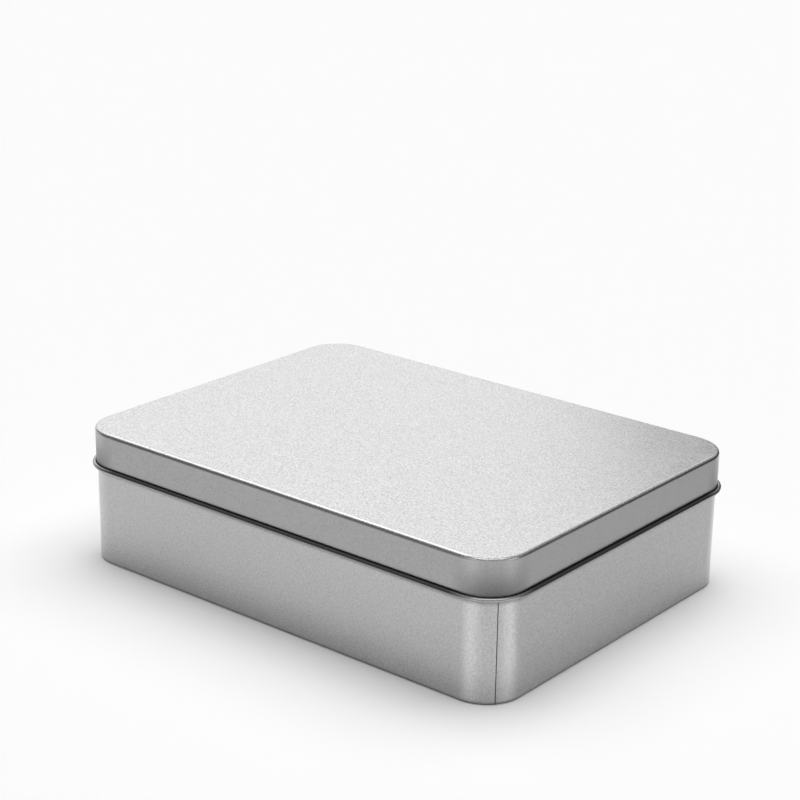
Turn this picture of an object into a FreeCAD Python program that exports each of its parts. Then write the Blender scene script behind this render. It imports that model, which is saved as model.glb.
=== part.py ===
"""A shut rectangular tin box: a straight-walled body of thin sheet and the lift-off lid that caps it.

Units are millimetres. The origin is the middle of the base, +X runs along the long side and +Z is up.
"""
import FreeCAD, Part
import math
import os

V = FreeCAD.Vector
UP = V(0, 0, 1)

# Overall sizes of the shut box, taken on the lid's upright walls and from base to top.
lid_length = 200.0
lid_width = 147.5
overall_height = 53.5

# The lid is a drawn cap of sheet metal. Its lower edge is rolled outwards into a curl.
sheet = 0.3
lid_height = 15.6
lid_corner_radius = 15.3
top_edge_radius = 1.2
curl_diameter = 1.8
curl_turn = 290.0

# The body's walls slip inside the lid with this gap on every side.
lid_clearance = 0.25
bottom_edge_radius = 0.6

# The body's lower edge is folded in under the base panel as a flat hem, which the box stands on.
hem_width = 3.0
hem_step = 0.6

# The body's sheet meets itself in an upright seam, part of the way round one corner.
# The seam's place is an angle about the corner's centre, counted from the end of the long side.
seam_angle = 51.0
seam_width = 0.4
seam_depth = 0.4

# Sizes that follow from the ones above.
corner_x = lid_length / 2 - lid_corner_radius
corner_y = lid_width / 2 - lid_corner_radius
curl_radius = curl_diameter / 2
curl_level = overall_height - lid_height + curl_radius
body_inset = sheet + lid_clearance
body_top = overall_height - sheet


def block(inset, low, high):
    """A rounded block that stands inside the lid's outline by an inset, between two heights."""
    length = lid_length - 2 * inset
    width = lid_width - 2 * inset
    box = Part.makeBox(length, width, high - low, V(-length / 2, -width / 2, low))
    upright = [edge for edge in box.Edges if edge.BoundBox.ZLength > (high - low) / 2]
    return box.makeFillet(lid_corner_radius - inset, upright)


def round_rim(solid, level, radius):
    """Round the edge that runs round a block at one height."""
    rim = [edge for edge in solid.Edges
           if abs(edge.BoundBox.ZMin - level) < 1e-6 and abs(edge.BoundBox.ZMax - level) < 1e-6]
    return solid.makeFillet(radius, rim)


def curl_section():
    """The curl cut across: an open roll of sheet, drawn outward along X from the skirt's outer face."""
    centre_x = curl_radius - sheet

    def point(radius, degrees):
        angle = math.radians(degrees)
        return V(centre_x + radius * math.cos(angle), 0, curl_level + radius * math.sin(angle))

    start, middle, end = 180, 180 + curl_turn / 2, 180 + curl_turn
    inner_radius = curl_radius - sheet
    outside = Part.Arc(point(curl_radius, start), point(curl_radius, middle), point(curl_radius, end))
    lip = Part.LineSegment(point(curl_radius, end), point(inner_radius, end))
    inside = Part.Arc(point(inner_radius, end), point(inner_radius, middle), point(inner_radius, start))
    root = Part.LineSegment(point(inner_radius, start), point(curl_radius, start))
    return Part.Face(Part.Wire([piece.toShape() for piece in (outside, lip, inside, root)]))


def carry_round(section):
    """Carry a section round the lid's wall, as four straight runs and four quarter turns."""
    pieces = []
    for turn, reach, run in ((0, corner_x, corner_y), (90, corner_y, corner_x),
                             (180, corner_x, corner_y), (270, corner_y, corner_x)):
        wall = reach + lid_corner_radius
        side = section.translated(V(wall, -run, 0)).extrude(V(0, 2 * run, 0))
        corner = section.translated(V(wall, run, 0)).revolve(V(reach, run, 0), UP, 90)
        pieces += [piece.rotated(V(), UP, turn) for piece in (side, corner)]
    return pieces


def make_lid():
    """The cap: a flat top with a tight rounded edge, an upright skirt and the curl."""
    outside = round_rim(block(0, curl_level, overall_height), overall_height, top_edge_radius)
    hollow = round_rim(block(sheet, 0, body_top), body_top, top_edge_radius - sheet)
    return outside.cut(hollow).fuse(carry_round(curl_section())).removeSplitter()


def make_seam():
    """The narrow groove that the seam leaves down the whole height of the corner."""
    body_corner_radius = lid_corner_radius - body_inset
    groove = Part.makeBox(2 * seam_depth, seam_width, overall_height,
                          V(body_corner_radius - seam_depth, -seam_width / 2, 0))
    return groove.rotated(V(), UP, seam_angle - 90).translated(V(corner_x, -corner_y, 0))


def make_body():
    """The tin itself, closed and filled up to the lid's underside, standing on its hem."""
    walls = block(body_inset, 0, body_top)
    walls = round_rim(walls, body_top, top_edge_radius - sheet)
    walls = round_rim(walls, 0, bottom_edge_radius)
    panel = block(body_inset + hem_width, 0, hem_step)
    return walls.cut([panel, make_seam()]).removeSplitter()


def export(name, shape):
    """Write one sub-part, after making sure that it is one sound solid."""
    if not shape.isValid() or len(shape.Solids) != 1:
        raise ValueError(f"{name} isn't one valid solid")
    solid = shape.Solids[0]
    solid.exportStep(f"parts/{name}.step")
    box = solid.optimalBoundingBox(False)
    print(f"{name}: {box.XLength:.1f} x {box.YLength:.1f} x {box.ZLength:.1f} mm, "
          f"{solid.Volume / 1000:.1f} cm3, from {abs(box.ZMin):.1f} to {box.ZMax:.1f} mm high")


os.makedirs("parts", exist_ok=True)
export("lid", make_lid())
export("tin_body", make_body())
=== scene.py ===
# %% [markdown]
# # A plain tin box
#
# This lesson builds the looks of a shut rectangular tin: a lift-off lid with a rolled edge over a straight
# body. Its construction already exists as solids, which are loaded here as a frame. Everything modelled
# below goes where those solids are, so nothing is fitted by eye. All sizes are in metres.

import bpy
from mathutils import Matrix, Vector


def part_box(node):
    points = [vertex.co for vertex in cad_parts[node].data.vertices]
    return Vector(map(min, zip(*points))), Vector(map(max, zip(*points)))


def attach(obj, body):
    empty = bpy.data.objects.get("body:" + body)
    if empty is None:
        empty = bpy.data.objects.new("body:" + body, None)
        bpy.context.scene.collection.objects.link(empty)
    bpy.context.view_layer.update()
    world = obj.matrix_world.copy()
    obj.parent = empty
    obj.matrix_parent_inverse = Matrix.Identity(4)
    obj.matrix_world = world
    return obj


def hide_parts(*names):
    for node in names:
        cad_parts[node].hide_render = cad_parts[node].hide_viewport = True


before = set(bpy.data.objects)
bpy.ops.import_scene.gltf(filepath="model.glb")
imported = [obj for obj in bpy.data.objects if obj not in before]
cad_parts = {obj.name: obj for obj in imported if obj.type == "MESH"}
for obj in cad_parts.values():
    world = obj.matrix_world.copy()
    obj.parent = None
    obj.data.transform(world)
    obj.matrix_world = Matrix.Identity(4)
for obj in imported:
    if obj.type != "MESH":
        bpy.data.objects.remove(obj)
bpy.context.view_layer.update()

import math

import bmesh
import bpy
from mathutils import Matrix, Vector

MM = 0.001

# %% [markdown]
# ## Sizes
#
# A tin is made of thin sheet, so a few sizes fix the whole shape. Most are read from the boxes of the two
# solids: the sheet is as thick as the lid's top stands above the body, for instance. Only what a box can't
# tell, such as a corner's radius, is written down as a number.

# %% Sizes of the lid and the body
lid_low, lid_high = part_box("lid")
body_low, body_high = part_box("tin_body")

curl_diameter = 1.8 * MM
curl_turn = 290
lid_corner_radius = 15.3 * MM
top_edge_radius = 1.2 * MM
bottom_edge_radius = 0.6 * MM
hem_width = 3.0 * MM
hem_step = 0.6 * MM
seam_angle = 51
seam_width = 0.4 * MM
seam_depth = 0.4 * MM

top = lid_high[2]
body_top = body_high[2]
sheet = top - body_top
curl_radius = curl_diameter / 2
curl_reach = curl_diameter - sheet
curl_level = lid_low[2] + curl_radius
wall_x = lid_high[0] - curl_reach
wall_y = lid_high[1] - curl_reach
body_inset = wall_x - body_high[0]
corner_x = wall_x - lid_corner_radius
corner_y = wall_y - lid_corner_radius
print(f"sheet {sheet / MM:.2f} mm, lid walls {2 * wall_x / MM:.1f} by {2 * wall_y / MM:.1f} mm")

# %% [markdown]
# ## Selecting in code
#
# Modelling by hand means selecting, then using a tool. A script has no mouse, so it selects by place: a
# test is given each vertex, and the ones that pass are selected. An operator works on everything that is
# selected, and a new object comes selected all over, so each step starts from nothing selected.

# %% Helpers for editing
def edit(piece):
    """Open one piece in edit mode, on vertices, with nothing selected."""
    bpy.ops.object.select_all(action="DESELECT")
    bpy.context.view_layer.objects.active = piece
    piece.select_set(True)
    bpy.ops.object.mode_set(mode="EDIT")
    bpy.ops.mesh.select_mode(type="VERT")
    bpy.ops.mesh.select_all(action="DESELECT")


def leave_edit():
    """Go back to object mode."""
    bpy.ops.object.mode_set(mode="OBJECT")


def select_faces(piece, test):
    """Select the faces whose middle passes a test, and say how many there are."""
    bpy.ops.mesh.select_mode(type="FACE")
    bpy.ops.mesh.select_all(action="DESELECT")
    mesh = bmesh.from_edit_mesh(piece.data)
    chosen = [face for face in mesh.faces if test(face.calc_center_median())]
    for face in chosen:
        face.select_set(True)
    mesh.select_flush_mode()
    bmesh.update_edit_mesh(piece.data)
    return len(chosen)


def select_edges(piece, test):
    """Select the edges whose two ends both pass a test, and say how many there are."""
    bpy.ops.mesh.select_mode(type="EDGE")
    bpy.ops.mesh.select_all(action="DESELECT")
    mesh = bmesh.from_edit_mesh(piece.data)
    chosen = [edge for edge in mesh.edges if all(test(vert.co) for vert in edge.verts)]
    for edge in chosen:
        edge.select_set(True)
    mesh.select_flush_mode()
    bmesh.update_edit_mesh(piece.data)
    return len(chosen)


def arc(centre, radius, start, end, steps):
    """Points of an arc in a section: centre is (outward, up), and the angles are in degrees."""
    angles = [math.radians(start + (end - start) * i / steps) for i in range(steps + 1)]
    return [(centre[0] + radius * math.cos(a), centre[1] + radius * math.sin(a)) for a in angles]


# %% [markdown]
# ## Carrying a section round
#
# Both pieces have the same wall section all the way round a rounded rectangle. The real lid is pressed and
# rolled in that way, and a model can be too. The section is drawn once, point by point, by extruding a
# single vertex. Then it is extruded along each straight side and spun through a quarter turn at each
# corner. A short step at both ends of every straight side keeps its shading flat right up to the corner.

# %% Draw a section and carry it round
support = 0.3 * MM
corner_steps = 28
weld_distance = MM / 200


def draw_section(name, section):
    """A new piece that holds only the section, at the start of the right side. Points are (outward, up)."""
    places = [Vector((wall_x + out, -corner_y, up)) for out, up in section]
    bpy.ops.object.select_all(action="DESELECT")
    bpy.ops.mesh.primitive_plane_add(size=MM, location=places[0])
    piece = bpy.context.object
    piece.name = name
    piece.data.name = name
    edit(piece)
    bpy.ops.mesh.select_all(action="SELECT")
    bpy.ops.mesh.merge(type="CENTER")
    for here, there in zip(places, places[1:]):
        bpy.ops.mesh.extrude_region_move(TRANSFORM_OT_translate={"value": there - here})
    leave_edit()
    bpy.ops.object.transform_apply(location=True, rotation=True, scale=True)
    return piece


def carry_round(piece):
    """Extrude and spin the section round the whole plan, and join its end to its start."""
    edit(piece)
    bpy.ops.mesh.select_all(action="SELECT")
    directions = (Vector((0, 1, 0)), Vector((-1, 0, 0)), Vector((0, -1, 0)), Vector((1, 0, 0)))
    corners = ((corner_x, corner_y), (-corner_x, corner_y), (-corner_x, -corner_y), (corner_x, -corner_y))
    for direction, corner in zip(directions, corners):
        run = 2 * (corner_y if direction.y else corner_x)
        for step in (support, run - 2 * support, support):
            bpy.ops.mesh.extrude_region_move(TRANSFORM_OT_translate={"value": direction * step})
        bpy.ops.mesh.spin(steps=corner_steps, angle=math.radians(-90), center=(*corner, 0), axis=(0, 0, 1))
    bpy.ops.mesh.select_all(action="SELECT")
    bpy.ops.mesh.remove_doubles(threshold=weld_distance)
    leave_edit()


def fill_middle(piece, level):
    """Close the rectangle between the four corner centres at one height."""
    edit(piece)
    close = MM / 50
    edges = select_edges(piece, lambda co: abs(co.z - level) < close and (
        (abs(abs(co.x) - corner_x) < close and abs(co.y) < corner_y + close)
        or (abs(abs(co.y) - corner_y) < close and abs(co.x) < corner_x + close)))
    bpy.ops.mesh.edge_face_add()
    leave_edit()
    return edges


def face_outwards(piece):
    """Turn every face of a piece the right way."""
    edit(piece)
    bpy.ops.mesh.select_all(action="SELECT")
    bpy.ops.mesh.normals_make_consistent(inside=False)
    leave_edit()


def apply_modifier(piece, kind, **settings):
    """Add a modifier, set it and apply it."""
    bpy.ops.object.select_all(action="DESELECT")
    bpy.context.view_layer.objects.active = piece
    piece.select_set(True)
    modifier = piece.modifiers.new(kind.title(), kind)
    for key, value in settings.items():
        setattr(modifier, key, value)
    bpy.ops.object.modifier_apply(modifier=modifier.name)


def smooth(piece, degrees=32):
    """Shade a piece smooth, but keep its sharp edges."""
    bpy.ops.object.select_all(action="DESELECT")
    bpy.context.view_layer.objects.active = piece
    piece.select_set(True)
    bpy.ops.object.shade_smooth_by_angle(angle=math.radians(degrees))
    print(f"{piece.name}: {len(piece.data.polygons)} faces, {len(piece.data.vertices)} vertices")


# %% [markdown]
# ## The lid
#
# The real lid is one piece of sheet, drawn into a shallow cap with a tight rounded edge. The raw lower edge
# would cut a finger, so it is rolled outwards into a small bead, open along its top. It could be modelled
# as a box with bevels, but the open roll couldn't. So the outer skin's section is drawn from the flat middle
# of the top down to the lip of the roll, and a Solidify modifier then gives the skin the thickness of the
# sheet.

# %% Model the lid
curl_centre = (curl_radius - sheet, curl_level)
lid_section = [(-lid_corner_radius, top), (-top_edge_radius - support, top)]
lid_section += arc((-top_edge_radius, top - top_edge_radius), top_edge_radius, 90, 0, steps=10)
lid_section += [(0, top - top_edge_radius - support), (0, curl_level + support)]
lid_section += arc(curl_centre, curl_radius - sheet, 180, 180 + curl_turn, steps=28)

lid = draw_section("tin_lid", lid_section)
carry_round(lid)
print("edges of the lid's middle panel:", fill_middle(lid, top))
face_outwards(lid)
apply_modifier(lid, "SOLIDIFY", thickness=sheet, offset=-1, use_even_offset=True)
smooth(lid)

# %% [markdown]
# ## The body
#
# The body is a strip of sheet bent round into a rounded rectangle, with a base panel. Its lower edge is
# folded in under the panel, so the tin stands on a narrow flat hem. The box is shut and its inside isn't
# seen, so the piece is closed across the top, just under the lid.

# %% Model the body
body_radius = lid_corner_radius - body_inset
inner_edge_radius = top_edge_radius - sheet
fold_radius = sheet / 2
wall = -body_inset
hem_inner = wall - hem_width

body_section = [(-lid_corner_radius, hem_step), (hem_inner - support, hem_step), (hem_inner, hem_step)]
body_section += arc((hem_inner + fold_radius, fold_radius), fold_radius, 180, 270, steps=4)
body_section += [(hem_inner + fold_radius + support, 0), (wall - bottom_edge_radius - support, 0)]
body_section += arc((wall - bottom_edge_radius, bottom_edge_radius), bottom_edge_radius, -90, 0, steps=8)
body_section += [(wall, bottom_edge_radius + support), (wall, body_top - inner_edge_radius - support)]
body_section += arc((wall - inner_edge_radius, body_top - inner_edge_radius),
                    inner_edge_radius, 0, 90, steps=6)
body_section += [(-lid_corner_radius, body_top)]

body = draw_section("tin_walls", body_section)
carry_round(body)
print("edges of the base panel and the closed top:", fill_middle(body, hem_step), fill_middle(body, body_top))
face_outwards(body)

# %% [markdown]
# ## The seam
#
# Where the two ends of the body's strip meet, a fine upright line stays visible, here on the round of one
# corner. A line drawn in the material would look painted on. Two bisecting planes cut a narrow strip down
# the corner, and the strip is pushed in by a little more than the sheet's thickness, which leaves a real
# groove.

# %% Cut the seam into the near corner
seam_reach = 2 * MM
seam_centre = Vector((corner_x, -corner_y, 0))
seam_out = Vector((math.sin(math.radians(seam_angle)), -math.cos(math.radians(seam_angle)), 0))
seam_across = Vector((-seam_out.y, seam_out.x, 0))


def near_seam(co, reach):
    """True for a place on the seam's corner, within a distance of the seam's middle."""
    place = co - seam_centre
    return place.dot(seam_out) > body_radius - bottom_edge_radius and abs(place.dot(seam_across)) < reach


edit(body)
for side in (-1, 1):
    select_faces(body, lambda co: near_seam(co, seam_reach))
    bpy.ops.mesh.bisect(plane_co=seam_centre + seam_across * side * seam_width / 2, plane_no=seam_across)
strip = select_faces(body, lambda co: near_seam(co, seam_width / 2) and co.z < body_top)
bpy.ops.mesh.extrude_region_shrink_fatten(TRANSFORM_OT_shrink_fatten={"value": -seam_depth})
leave_edit()
smooth(body)
print("faces in the seam's strip:", strip)

# %% [markdown]
# ## Shader maths as Python
#
# A material is a graph of nodes. Wiring it by hand hides what it says, so a small class wraps one socket
# and turns +, - and * into Math nodes. Then a mask can be written as 1 - speckle * 0.5. Every other node
# comes from one method, which takes the node's type, its settings and the values or wires of its inputs. An
# input is given by its name, or by its number after a low line where several inputs share a name.

# %% A class for shader maths
class Wire:
    """One output socket of a material's node tree, which can be used in sums."""

    def __init__(self, tree, socket):
        self.tree = tree
        self.socket = socket

    def node(self, kind, settings=None, output=0, **inputs):
        """Add a node of a type, with its settings made first, and return one of its outputs."""
        made = self.tree.nodes.new(kind)
        for key, value in (settings or {}).items():
            setattr(made, key, value)
        for key, value in inputs.items():
            slot = made.inputs[int(key[1:])] if key[0] == "_" else made.inputs[key.replace("_", " ")]
            if isinstance(value, Wire):
                self.tree.links.new(value.socket, slot)
            else:
                slot.default_value = value
        return Wire(self.tree, made.outputs[output])

    def maths(self, operation, first, second):
        return self.node("ShaderNodeMath", {"operation": operation}, _0=first, _1=second)

    def __add__(self, other):
        return self.maths("ADD", self, other)

    def __sub__(self, other):
        return self.maths("SUBTRACT", self, other)

    def __rsub__(self, other):
        return self.maths("SUBTRACT", other, self)

    def __mul__(self, other):
        return self.maths("MULTIPLY", self, other)


# %% [markdown]
# ## Tools for masks
#
# Most surfaces differ from place to place: a corner gets painted shade, an edge is rubbed bright. A mask says
# where, as a value from 0 to 1. Painting one by hand would tie it to this mesh. Here each mask is worked out
# from the place on the object, so it follows the sizes above, and it stays where it is when the tin is
# turned.

# %% Tools for masks
def object_place(material):
    """Where a point lies on the object, as a wire, and its three coordinates."""
    tree = material.node_tree
    place = Wire(tree, tree.nodes.new("ShaderNodeTexCoord").outputs["Object"])
    return place, [place.node("ShaderNodeSeparateXYZ", output=axis, Vector=place) for axis in range(3)]


def ramp(value, start, end):
    """A mask that climbs smoothly from 0 to 1 between two values."""
    return value.node("ShaderNodeMapRange", {"interpolation_type": "SMOOTHSTEP"},
                      Value=value, From_Min=start, From_Max=end)


def between(value, start, full, fade, end):
    """A mask that climbs from 0 at start to 1 at full, and falls back from fade to 0 at end."""
    return ramp(value, start, full) - ramp(value, fade, end)


def at_least_zero(value):
    """The value itself, or 0 where it is negative."""
    return value.node("ShaderNodeMath", {"operation": "MAXIMUM"}, _0=value, _1=0.0)


def absolute(value):
    """The value without its sign."""
    return value.node("ShaderNodeMath", {"operation": "ABSOLUTE"}, _0=value)


print("the tin's height runs from", round(body_low[2] / MM, 1), "to", round(top / MM, 1), "mm")

# %% [markdown]
# ## Painted highlight bands on the corners
#
# On a rounded corner the tin shows two soft, pale upright bands, which are reflections of lamps. Lamps bright
# enough to draw them would leave white patches on the flat walls, so the bands are painted into the metal's
# colour as a painted highlight, where the bend begins and where it ends. The angle round a corner comes from
# an Arctangent of how far a place lies past the end of each straight side. It is 0 all along the long sides
# and 90 all along the short ones, and each band is written down as the four angles between which it climbs
# and falls.

# %% Mask of the painted highlight bands
bend_begins = (-2, 15, 15, 36)
bend_ends = (51, 68, 68, 88)


def painted_highlight_bands(x, y):
    """Two upright painted highlight bands on each rounded corner."""
    past_long_side = at_least_zero(absolute(x) - corner_x)
    past_short_side = at_least_zero(absolute(y) - corner_y)
    turn = past_long_side.node(
        "ShaderNodeMath", {"operation": "ARCTAN2"}, _0=past_long_side, _1=past_short_side)
    angle = turn * math.degrees(1)
    return between(angle, *bend_begins) + between(angle, *bend_ends)


print("each corner bends round a radius of", round(lid_corner_radius / MM, 1), "mm")

# %% [markdown]
# ## How the lid differs from place to place
#
# A press draws the lid out of flat sheet. Its top stays as it was rolled, with the full grain, and is made
# paler, which is painted light for the light that the top catches. The round of the top edge and the curl
# slide against the tools, which rubs them smooth. The corners get painted shade, darker toward the curl, and
# a little more roughness. Along the straight sides a line of painted shade lies in the fold above the curl,
# and a fainter line of painted shade just below the round of the top edge sets the top off from the sides.
# Each of these is one mask here, and the material decides what it does.

# %% Masks of the lid
flat_inset = 0.15 * MM
corner_spread = 4 * MM
# Painted shade on the corners, in the fold above the curl and under the top edge's round.
corner_painted_shade = 1.05
fold_painted_shade = 0.8
rim_painted_shade = 0.5
shade_line_fade = 1.7
# Painted highlight on the skirt's corners.
lid_painted_highlight = 0.2


def lid_masks(x, y, z):
    """Where the lid is flat, worn smooth, darkened by painted shade and brightened by painted highlight
    bands.
    """
    curl_top = curl_level + curl_radius
    flat = ramp(z, top - 0.9 * top_edge_radius, top - flat_inset)
    curl = 1 - ramp(z, curl_top - 0.1 * MM, curl_top + 0.2 * MM)
    edge = ramp(z, top - 1.3 * top_edge_radius, top - top_edge_radius) - flat

    def past(value, start):
        """0 along a straight side, and climbing evenly to 1 across a corner."""
        width = lid_corner_radius + corner_spread
        return at_least_zero((absolute(value) - start + corner_spread) * (1 / width))

    corner = past(x, corner_x) * past(y, corner_y)
    # Painted shade: the corners grow darker toward the curl, and a little rougher.
    corner_shade = corner * (1 - ramp(z, curl_level - curl_radius, top)) * (1 - curl) * corner_painted_shade
    # Painted shade: a line in the fold above the curl and a fainter one under the top edge's round.
    fold = between(z, curl_level - 0.25 * MM, curl_level + 0.15 * MM,
                   curl_top - 0.1 * MM, curl_top + 0.7 * MM)
    rim = between(z, top - 1.4 * top_edge_radius, top - top_edge_radius,
                  top - 0.7 * top_edge_radius, top - 0.35 * top_edge_radius)
    shade_lines = (fold * fold_painted_shade + rim * rim_painted_shade) * at_least_zero(1 - corner * shade_line_fade)
    # Painted highlight: pale upright bands down the skirt's corners.
    bright = painted_highlight_bands(x, y) * (ramp(z, curl_level, top) - flat) * lid_painted_highlight
    return {"flat": flat, "worn": curl + edge, "darkened": corner_shade + shade_lines, "bright": bright}


# %% [markdown]
# ## How the body differs from place to place
#
# The body's sheet is only bent, so its grain is the same all round. The corner with the seam gets stronger
# painted highlight bands than the others. The seam's groove is darker, painted shade darkens a line right
# below the curl and one along the foot, and a fainter painted shade reaches a little way up the walls.

# %% Masks of the body
seam_dullness = 0.85
# Painted shade: darker along the foot and right below the curl, and a little darker up the lower walls.
foot_and_curl_painted_shade = 0.3
lower_wall_painted_shade = 0.1
lower_wall_shade_height = 16 * MM
# Painted highlight: pale upright bands on the body's corners, stronger on the seam's corner.
body_painted_highlight = 0.07
seam_corner_painted_highlight = 0.21


def body_masks(x, y, z):
    """Where the body is darker, in its seam and by painted shade, and where painted highlight bands brighten
    it.
    """
    outward = (x - seam_centre.x) * seam_out.x + (y - seam_centre.y) * seam_out.y
    across = (x - seam_centre.x) * seam_across.x + (y - seam_centre.y) * seam_across.y
    narrow = between(across, -seam_width, -seam_width / 2, seam_width / 2, seam_width)
    sunk = between(outward, body_radius - 2 * seam_depth, body_radius - 1.5 * seam_depth,
                   body_radius - 0.12 * MM, body_radius - 0.04 * MM)
    # Painted shade along the foot, below the curl and fading up the lower walls.
    foot = 1 - ramp(z, 0.4 * MM, 1.4 * MM)
    below_curl = ramp(z, lid_low[2] - 2.2 * MM, lid_low[2] - 0.4 * MM)
    lower_wall_fade = 1 - ramp(z, 1 * MM, lower_wall_shade_height)
    painted_shade = (foot + below_curl) * foot_and_curl_painted_shade + lower_wall_fade * lower_wall_painted_shade
    seam_corner = ramp(x, 0.0, corner_x) * (1 - ramp(y, -corner_y, 0.0))
    # Painted highlight bands, stronger on the corner with the seam.
    bright = painted_highlight_bands(x, y) * (1 - foot) * (seam_corner * seam_corner_painted_highlight + body_painted_highlight)
    return {"darkened": narrow * sunk * seam_dullness + painted_shade, "bright": bright}


# %% [markdown]
# ## Frosted tinplate
#
# Tinplate is steel with a thin coat of tin. This sheet has the look of one rolled with a matt roller, neither
# polished nor brushed: each tiny facet of the surface throws the light its own way, which gives a fine
# sparkle close up and a soft sheen from afar. Metal has no colour of its own but what it reflects, so the
# base colour is a neutral grey, as light as the share of light that it gives back.
#
# One fine noise is the grain. It goes into the bump, and a little of it into colour and roughness, because
# facets too small to see still change both. A coarser noise adds faint clouds. On the walls the grain runs
# slightly up and down, which blurs what they mirror along the height, so the body's shader is made
# anisotropic.

# %% The tinplate material
worn_roughness = 0.24
cloud_size = 160.0
cloud_contrast = 0.1
cloud_roughness = 0.08
grain_roughness = 0.1
grain_height = 0.003 * MM
flat_grain = 2.4
dull_roughness = 0.2


def tinplate(name, colour, roughness, grain_size, speckle, masks, painted_top_light=0.0, stretch=0.0):
    """Frosted tinplate, with masks that say where it is flat, worn smooth, darkened and brightened. The
    darkening is painted shade save in the body's seam, the brightening is painted highlight, and the paler
    flat top is painted light.
    """
    material = bpy.data.materials.new(name)
    material.use_nodes = True
    shader = material.node_tree.nodes["Principled BSDF"]
    place, coordinates = object_place(material)
    mask = {"flat": 0.0, "worn": 0.0} | masks(*coordinates)
    grain = place.node("ShaderNodeTexNoise", Vector=place, Scale=grain_size, Detail=2.0, Roughness=0.7) - 0.5
    cloud = place.node("ShaderNodeTexNoise", Vector=place, Scale=cloud_size, Detail=4.0, Roughness=0.65) - 0.5

    sparkle = grain * (mask["flat"] * flat_grain + 1.0) * speckle + cloud * cloud_contrast + 1.0
    # Painted light and shade in the tone: a paler flat top, painted shade and painted highlight bands.
    tone = sparkle * (1.0 - mask["darkened"]) * (mask["bright"] + 1.0) * (mask["flat"] * painted_top_light + colour)
    grey = place.node("ShaderNodeCombineColor", Red=tone, Green=tone, Blue=tone)
    rough = (grain * grain_roughness + cloud * cloud_roughness + mask["darkened"] * dull_roughness
             - mask["worn"] * (roughness - worn_roughness) + roughness)
    bump = place.node("ShaderNodeBump", Height=grain, Distance=grain_height, Strength=1.0)
    for socket, wire in (("Base Color", grey), ("Roughness", rough), ("Normal", bump)):
        material.node_tree.links.new(wire.socket, shader.inputs[socket])
    shader.inputs["Metallic"].default_value = 1.0
    shader.inputs["Anisotropic"].default_value = stretch
    shader.inputs["Anisotropic Rotation"].default_value = 0.25
    print(name, "has", len(material.node_tree.nodes), "nodes")
    return material


# %% [markdown]
# ## A finish for each piece
#
# Both pieces are made of the same sheet, but the lid is drawn and the body is only bent, so the lid's sides
# are made darker and a little more matt. Its flat top is made paler than its sides, which is painted light
# for the light that the top catches; it also keeps the top from turning black where it mirrors a dark part of
# the room.

# %% Give each piece its tinplate
lid.data.materials.append(tinplate(
    "frosted lid", colour=0.365, roughness=0.29, grain_size=1500.0, speckle=0.46,
    masks=lid_masks, painted_top_light=0.185))
body.data.materials.append(tinplate(
    "frosted body", colour=0.465, roughness=0.24, grain_size=1300.0, speckle=0.7,
    masks=body_masks, stretch=0.6))

# %% [markdown]
# ## Where the pieces belong
#
# The two pieces stand for the two solids of the frame. The lid only rests on the body and nothing is
# hinged, so both ride on the one body of the frame.

# %% Tie the pieces to the frame
for piece, node, finish in ((lid, "lid", "lid_tinplate"), (body, "tin_body", "body_tinplate")):
    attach(piece, "root")
    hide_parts(node)
    print(piece.name, "stands for", node, "and fills the slot", finish)

# %% [markdown]
# ## Directions round the tin
#
# The camera and every lamp are placed by the direction they are seen in from the tin: an azimuth that is 0
# in front of the long side and 90 off the short side to its right, and an elevation above the floor, in
# degrees.

# %% Directions
def toward(azimuth, elevation):
    """The direction away from the tin at an azimuth and an elevation."""
    a, e = math.radians(azimuth), math.radians(elevation)
    return Vector((math.sin(a) * math.cos(e), -math.cos(a) * math.cos(e), math.sin(e)))


print("straight in front of the long side:", [round(value, 2) for value in toward(0, 0)])

# %% [markdown]
# ## Camera
#
# The tin is seen from above one corner, so that the top and two walls show. The lens is long and stands
# well back, which keeps the upright edges nearly parallel. The camera is tipped sideways by less than a
# degree, as one held in the hand would be.

# %% Place the camera
camera_azimuth = 39.34
camera_elevation = 19.26
camera_roll = math.radians(0.81)
camera_distance = 779.7 * MM
aim_right = -0.84 * MM
aim_up = 63.9 * MM
lens_length = 90.76

back = toward(camera_azimuth, camera_elevation)
level_right = toward(camera_azimuth + 90, 0)
level_up = back.cross(level_right)
right = level_right * math.cos(camera_roll) + level_up * math.sin(camera_roll)
up = level_up * math.cos(camera_roll) - level_right * math.sin(camera_roll)

camera_data = bpy.data.cameras.new("camera")
camera_data.lens = lens_length
camera_data.sensor_width = 36
camera = bpy.data.objects.new("camera", camera_data)
camera_place = back * camera_distance + right * aim_right + up * aim_up
camera.matrix_world = Matrix.Translation(camera_place) @ Matrix((right, up, back)).transposed().to_4x4()
bpy.context.collection.objects.link(camera)
bpy.context.scene.camera = camera
print("camera at", [round(value, 3) for value in camera_place])

# %% [markdown]
# ## Floor
#
# The tin stands on a pale matt floor, large enough that its far edge is never seen. The floor matters more
# than any lamp here: the walls look down at it, so nearly all that shows in them is floor, and the shadow
# along the tin's foot shows in them too.

# %% Lay the floor
floor_size = 30


def matt(name, grey, roughness, shine=0.5):
    """A plain matt material, of one even grey."""
    material = bpy.data.materials.new(name)
    material.use_nodes = True
    shader = material.node_tree.nodes["Principled BSDF"]
    shader.inputs["Base Color"].default_value = (grey, grey, grey, 1)
    shader.inputs["Roughness"].default_value = roughness
    shader.inputs["Specular IOR Level"].default_value = shine
    return material


def plane(name, size):
    """A square plane at the origin, as a new object."""
    bpy.ops.object.select_all(action="DESELECT")
    bpy.ops.mesh.primitive_plane_add(size=size)
    bpy.context.object.name = name
    return bpy.context.object


floor = plane("floor", floor_size)
floor.data.materials.append(matt("matt white", 0.92, roughness=0.9, shine=0.0))
print("floor", [round(value) for value in floor.dimensions[:2]], "metres")

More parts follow.
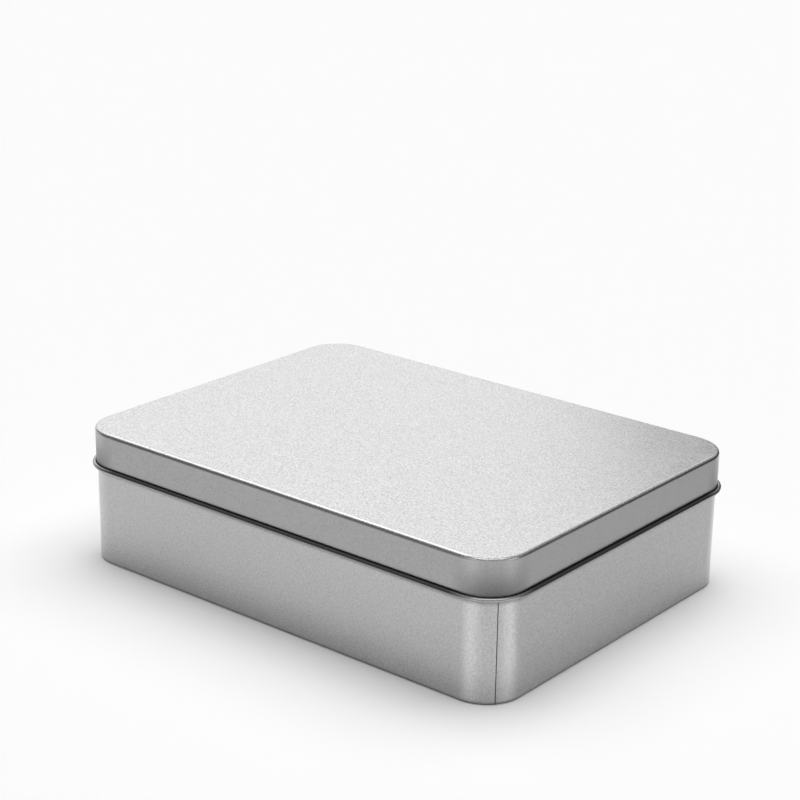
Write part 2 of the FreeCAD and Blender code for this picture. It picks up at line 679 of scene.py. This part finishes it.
# %% [markdown]
# ## Light on the floor
#
# A studio ceiling that is lit evenly throws soft light on the floor, and the tin takes it away close by.
# Two sun lamps stand in for it. A sun with a wide angle is as soft as a large lamp, and lights the whole
# floor evenly. One leans from behind and one from the left, so the shadow is deepest in front and lighter
# off the right side. They are hidden from reflections, where they would show as two huge discs.

# %% Light the floor
ceiling_spread = math.radians(62)


def ceiling(name, azimuth, elevation, brightness):
    """Wide soft light. A brightness of 1 shows a white floor as white."""
    lamp_data = bpy.data.lights.new(name, "SUN")
    lamp_data.angle = ceiling_spread
    lamp_data.energy = brightness * math.pi
    lamp = bpy.data.objects.new(name, lamp_data)
    lamp.rotation_euler = toward(azimuth, elevation).to_track_quat("Z", "Y").to_euler()
    lamp.visible_glossy = False
    bpy.context.collection.objects.link(lamp)
    print(f"{name} from {azimuth}, {elevation} degrees")


ceiling("back ceiling", 160, 70, 0.59)
ceiling("left ceiling", 282, 72, 0.45)

# %% [markdown]
# ## Lights that the metal mirrors
#
# Metal isn't lit the way paper is. It only mirrors what stands in the right direction, so each soft box is
# put where one part of the tin mirrors it. The window behind the tin makes the flat top bright, and the
# side window carries that on over the right edge. The skylight draws the bright line along the top edge,
# and the front skylight carries it round the near corner and onto the curl. Two low strips put a small
# gleam on that corner's edge. The largest boxes are no brighter than a white wall, or the tin would mirror
# them as blank white patches from some side. All are hidden from matt surfaces, so they can be moved
# without changing the floor.

# %% Set up the soft boxes
def soft_box(name, azimuth, elevation, distance, width, height, brightness):
    """A rectangular area lamp that faces the tin. A brightness of 1 is that of a white wall."""
    lamp_data = bpy.data.lights.new(name, "AREA")
    lamp_data.shape = "RECTANGLE"
    lamp_data.size = width
    lamp_data.size_y = height
    lamp_data.energy = brightness * math.pi * width * height
    lamp = bpy.data.objects.new(name, lamp_data)
    direction = toward(azimuth, elevation)
    lamp.location = direction * distance
    lamp.rotation_euler = direction.to_track_quat("Z", "Y").to_euler()
    lamp.visible_diffuse = False
    bpy.context.collection.objects.link(lamp)
    print(f"{name}: {width} by {height} m, {distance} m away")


soft_box("window", 239, 36, 1.9, 2.0, 2.2, 0.93)
soft_box("side window", 190, 44, 1.9, 0.95, 1.1, 0.75)
soft_box("skylight", 258, 56, 1.8, 1.25, 0.8, 1.4)
soft_box("left strip", -4, 7, 1.8, 1.15, 0.6, 1.0)
soft_box("right strip", 95, 7, 1.8, 0.85, 0.6, 1.2)
soft_box("front skylight", 45, 68, 1.8, 1.8, 0.5, 2.2)

# %% [markdown]
# ## Cards
#
# In an all-white room a metal edge has nothing dark to mirror and melts into the background. So a studio
# stands black cards beside a metal thing, just out of the camera's view. Two low cards darken the thin line
# under the top edge. A pale grey card lies flat off the short side and makes that wall a shade darker than
# the long one, so the two read as two. Only reflections see the cards, and they throw no shadow.

# %% Set up the cards
black = 0.03
pale_grey = 0.81
card_lift = 0.5 * MM


def card(name, grey, middle, across, along):
    """A matt card, given by its middle and by its two edges as vectors."""
    piece = plane(name, 1)
    axes = Matrix((across, along, across.cross(along).normalized())).transposed().to_4x4()
    piece.matrix_world = Matrix.Translation(middle) @ axes
    piece.visible_camera = False
    piece.visible_diffuse = False
    piece.visible_shadow = False
    piece.data.materials.append(matt(name, grey, roughness=1.0))
    print(f"{name}: {across.length:.2f} by {along.length:.2f} m")


def standing_card(name, azimuth, distance, width, height):
    """A black card that stands on the floor and faces the tin."""
    middle = toward(azimuth, 0) * distance + Vector((0, 0, height / 2))
    card(name, black, middle, toward(azimuth + 90, 0) * width, Vector((0, 0, height)))


standing_card("right card", 140, 0.30, 0.50, 0.10)
standing_card("left card", 322, 0.60, 0.60, 0.12)
card("flat card", pale_grey, Vector((0.36, 0.26, card_lift)), Vector((0.5, 0, 0)), Vector((0, 0.6, 0)))

# %% [markdown]
# ## The room
#
# Whatever isn't a lamp or a card is the room itself, and the tin has to look right from every side of it.
# The world gives all surfaces a little light. Reflections get more: an even grey that is lighter overhead
# and in front, and a little lighter to the right, which the flat top mirrors when it is seen from the left.
# The camera sees a wall as white as the floor. Light Path tells the three apart.

# %% Light the room
room_grey = 0.26
wall_in_view = 0.88
fill_light = 0.07

world = bpy.data.worlds.new("studio")
bpy.context.scene.world = world
world.use_nodes = True
sky = Wire(world.node_tree, world.node_tree.nodes.new("ShaderNodeTexCoord").outputs["Generated"])


def glow(azimuth, elevation, sharpness):
    """1 in one direction of the room, falling smoothly to 0 at right angles to it."""
    nearness = at_least_zero(sky.node("ShaderNodeVectorMath", {"operation": "DOT_PRODUCT"}, output=1,
                                      _0=sky, _1=toward(azimuth, elevation)))
    return nearness.node("ShaderNodeMath", {"operation": "POWER"}, _0=nearness, _1=sharpness)


light_path = world.node_tree.nodes.new("ShaderNodeLightPath")
in_reflections = Wire(world.node_tree, light_path.outputs["Is Glossy Ray"])
in_view = Wire(world.node_tree, light_path.outputs["Is Camera Ray"])
room = glow(45, 15, 3.0) * 0.3 + glow(0, 90, 2.0) * 0.25 + glow(140, 20, 8.0) * 0.06 + room_grey
strength = in_reflections * room + in_view * wall_in_view + fill_light
background = world.node_tree.nodes["Background"]
background.inputs["Color"].default_value = (1, 1, 1, 1)
world.node_tree.links.new(strength.socket, background.inputs["Strength"])
bpy.context.scene.view_settings.view_transform = "Standard"
print("nodes in the world:", len(world.node_tree.nodes))
